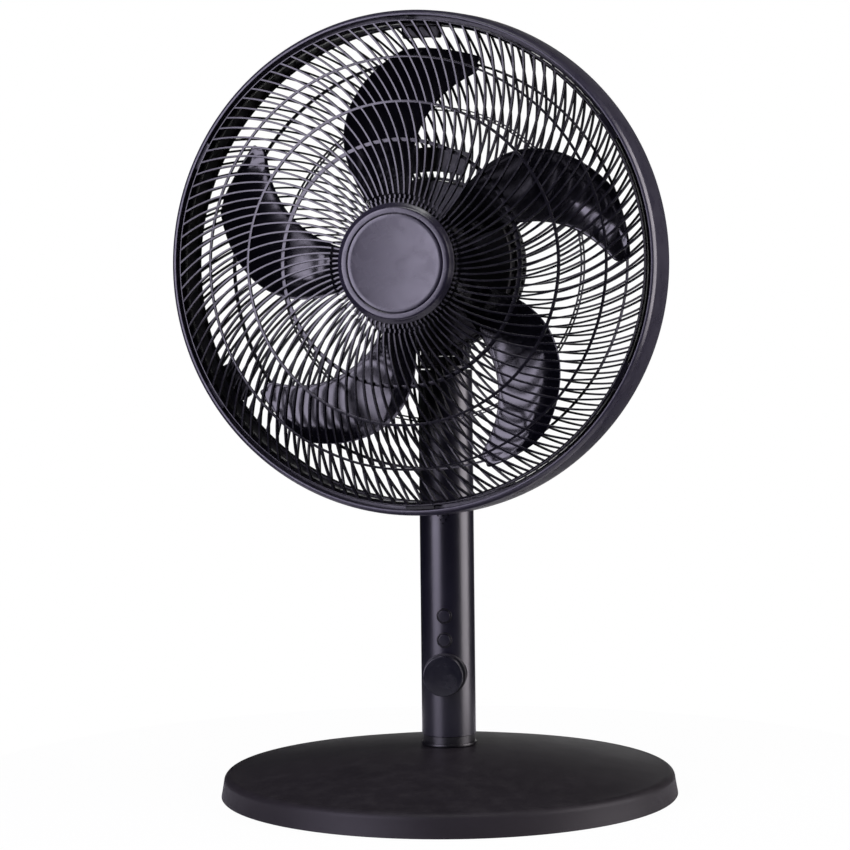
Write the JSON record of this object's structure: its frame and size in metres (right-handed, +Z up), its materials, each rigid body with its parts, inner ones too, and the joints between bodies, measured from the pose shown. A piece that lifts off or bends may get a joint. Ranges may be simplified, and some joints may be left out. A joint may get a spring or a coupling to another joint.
{
  "type": "air circulator fan",
  "caption": "Floor-standing air circulator with swept blades between spiral-rib guards in a wide round band, on a straight pole with push buttons and a knob over a round weighted base.",
  "frame": {"origin": "on the floor under the pole's axis, 3.3 mm below the centre of the flat underside of the base plate", "axes": "+Z up along the pole; -Y forward, the side of the pole that carries the buttons and the knob; +X to the right of someone who faces that side. The head is stored swung 8.06 degrees about +Z towards -X, as pictured."},
  "size_m": [0.4445, 0.4216, 0.7103],
  "materials": {
    "base": "fine matte grain, charcoal black",
    "pole": "satin near-black coat on steel tube",
    "controls": "satin moulded buttons and knob",
    "band": "satin dark violet-grey moulding",
    "rib": "satin dark grey moulding",
    "rear_rib": "satin black moulding",
    "cap": "soft satin violet-grey disc",
    "blade": "polished near-black moulding",
    "inner": "fine matte black housing",
    "rubber": "matte black",
    "steel": "plain turned steel",
    "iron": "raw casting and laminations",
    "winding": null,
    "board": "green solder mask on laminate"
  },
  "bodies": {
    "stand": {"base_cover": "base", "base_plate": "base", "base_weight": "iron", "foot_1": "rubber", "foot_2": "rubber", "foot_3": "rubber", "foot_4": "rubber", "foot_5": "rubber", "power_inlet": "inner", "pole_collar": "inner", "pole_nut": "iron", "pole_tube": "pole", "control_board": "board", "board_carrier": "inner", "button_well_upper": "controls", "button_well_lower": "controls", "switch_upper": "inner", "switch_lower": "inner", "knob_boss": "controls", "knob_encoder": "steel", "swing_motor": "steel", "swing_motor_seat": "inner", "neck_bearing": "inner"},
    "upper_button": {"button_upper": "controls"},
    "lower_button": {"button_lower": "controls"},
    "dial": {"knob": "controls"},
    "neck": {"neck_hub": "inner", "swing_shaft": "steel", "tilt_bolt": "steel"},
    "head": {"motor_cover_rear": "inner", "motor_cover_front": "inner", "stator": "winding", "stator_frame": "iron", "guard_band": "band", "front_guard": "rib", "rear_guard": "rear_rib", "cap_ring": "band", "cap_disc": "cap", "bearing_front": "steel", "bearing_rear": "steel"},
    "fan": {"impeller": "blade", "spinner": "blade", "motor_shaft": "steel", "rotor": "iron"}
  },
  "joints": [
    {"name": "upper_button_press", "type": "slide", "parent": "stand", "child": "upper_button", "axis": [0, 1, 0], "range_m": [0, 0.0015], "stiffness_N_per_m": 800},
    {"name": "lower_button_press", "type": "slide", "parent": "stand", "child": "lower_button", "axis": [0, 1, 0], "range_m": [0, 0.0015], "stiffness_N_per_m": 800},
    {"name": "knob_turn", "type": "hinge", "parent": "stand", "child": "dial", "pos_m": [0, -0.033, 0.1128], "axis": [0, -1, 0], "continuous": true},
    {"name": "neck_swing", "type": "hinge", "parent": "stand", "child": "neck", "pos_m": [0, 0, 0.391], "axis": [0, 0, 1], "range_deg": [-36.94, 53.06]},
    {"name": "head_tilt", "type": "hinge", "parent": "neck", "child": "head", "pos_m": [0, 0, 0.415], "axis": [0.9901, -0.1402, 0], "range_deg": [-25, 10]},
    {"name": "impeller_spin", "type": "hinge", "parent": "head", "child": "fan", "pos_m": [0, 0, 0.4868], "axis": [-0.1402, -0.9901, 0], "continuous": true}
  ]
}
